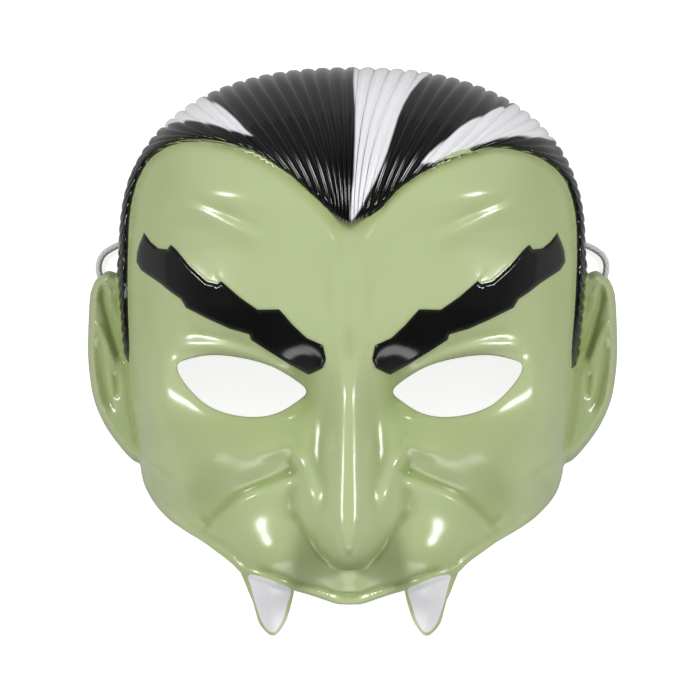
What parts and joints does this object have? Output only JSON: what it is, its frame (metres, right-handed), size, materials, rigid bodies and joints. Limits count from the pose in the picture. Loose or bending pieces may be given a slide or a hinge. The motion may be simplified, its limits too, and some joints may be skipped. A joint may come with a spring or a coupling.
{
  "type": "vampire mask",
  "caption": "Thin hollow half mask of a vampire face with ribbed hair, ears, eye holes and fangs, and a loose round elastic that holds it on.",
  "frame": {"origin": "middle of the mask's bounding box on the plane that its rim rests on", "axes": "+Z out of the face, +Y to the top of the head, +X to the right seen from the front; the mask lies face up on its rim"},
  "size_m": [0.2002, 0.214, 0.0924],
  "materials": {
    "green_plastic": "glossy thin formed sheet, pale green, with black and white painted areas",
    "elastic": "white braided elastic",
    "pad_plastic": "satin white"
  },
  "bodies": {
    "root": {"mask_shell": "green_plastic", "elastic_cord": "elastic", "cord_anchor_left": "pad_plastic", "cord_anchor_right": "pad_plastic"}
  },
  "joints": []
}
